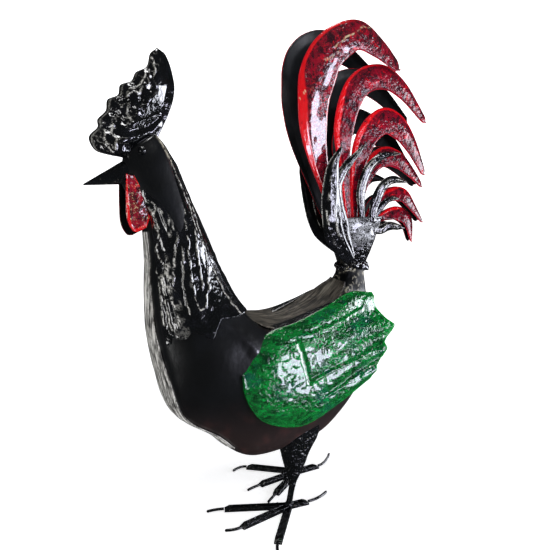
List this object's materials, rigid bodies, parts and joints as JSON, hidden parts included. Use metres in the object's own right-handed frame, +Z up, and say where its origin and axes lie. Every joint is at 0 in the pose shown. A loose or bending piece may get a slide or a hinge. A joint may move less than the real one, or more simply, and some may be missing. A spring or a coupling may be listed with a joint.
{
  "type": "metal rooster sculpture",
  "caption": "Standing rooster sculpture of painted sheet steel for a yard or shelf, with a tall comb, ridged neck cape, hammered green wings and red hooked tail feathers",
  "frame": {"origin": "on the floor, under the middle of the sculpture's bounding box", "axes": "+Z up, -X is the way the rooster looks, -Y is its left side"},
  "size_m": [0.5649, 0.2718, 0.7536],
  "materials": {
    "black_enamel": "gloss black enamel on sheet steel",
    "worn_black_enamel": "gloss black enamel, rubbed through to cream and steel on its ridges",
    "worn_steel": "thin black paint brushed over bare sheet steel",
    "red_enamel": "gloss crimson enamel, mottled with charcoal and pink",
    "green_enamel": "gloss green enamel on hammered sheet"
  },
  "bodies": {
    "root": {"beak": "black_enamel", "body": "black_enamel", "breast_panel": "worn_steel", "claw_left_1": "black_enamel", "claw_left_2": "black_enamel", "claw_left_3": "black_enamel", "claw_left_4": "black_enamel", "claw_right_1": "black_enamel", "claw_right_2": "black_enamel", "claw_right_3": "black_enamel", "claw_right_4": "black_enamel", "comb": "worn_black_enamel", "covert_left_1": "worn_black_enamel", "covert_left_2": "worn_black_enamel", "covert_left_3": "worn_black_enamel", "covert_left_4": "worn_black_enamel", "covert_left_5": "worn_black_enamel", "covert_left_6": "worn_black_enamel", "covert_right_1": "worn_black_enamel", "covert_right_2": "worn_black_enamel", "covert_right_3": "worn_black_enamel", "covert_right_4": "worn_black_enamel", "covert_right_5": "worn_black_enamel", "covert_right_6": "worn_black_enamel", "eye_left": "black_enamel", "eye_right": "black_enamel", "hackle_cape": "worn_black_enamel", "saddle_panel": "worn_steel", "shank_left": "black_enamel", "shank_right": "black_enamel", "sickle_left_1": "red_enamel", "sickle_left_2": "red_enamel", "sickle_left_3": "red_enamel", "sickle_left_4": "red_enamel", "sickle_left_5": "red_enamel", "sickle_left_6": "red_enamel", "sickle_right_1": "red_enamel", "sickle_right_2": "red_enamel", "sickle_right_3": "red_enamel", "sickle_right_4": "red_enamel", "sickle_right_5": "red_enamel", "sickle_right_6": "red_enamel", "tail_socket": "worn_steel", "thigh_left": "black_enamel", "thigh_right": "black_enamel", "toe_left_1": "black_enamel", "toe_left_2": "black_enamel", "toe_left_3": "black_enamel", "toe_left_4": "black_enamel", "toe_right_1": "black_enamel", "toe_right_2": "black_enamel", "toe_right_3": "black_enamel", "toe_right_4": "black_enamel", "wattle_left": "red_enamel", "wattle_right": "red_enamel", "wing_left": "green_enamel", "wing_right": "green_enamel"}
  },
  "joints": []
}
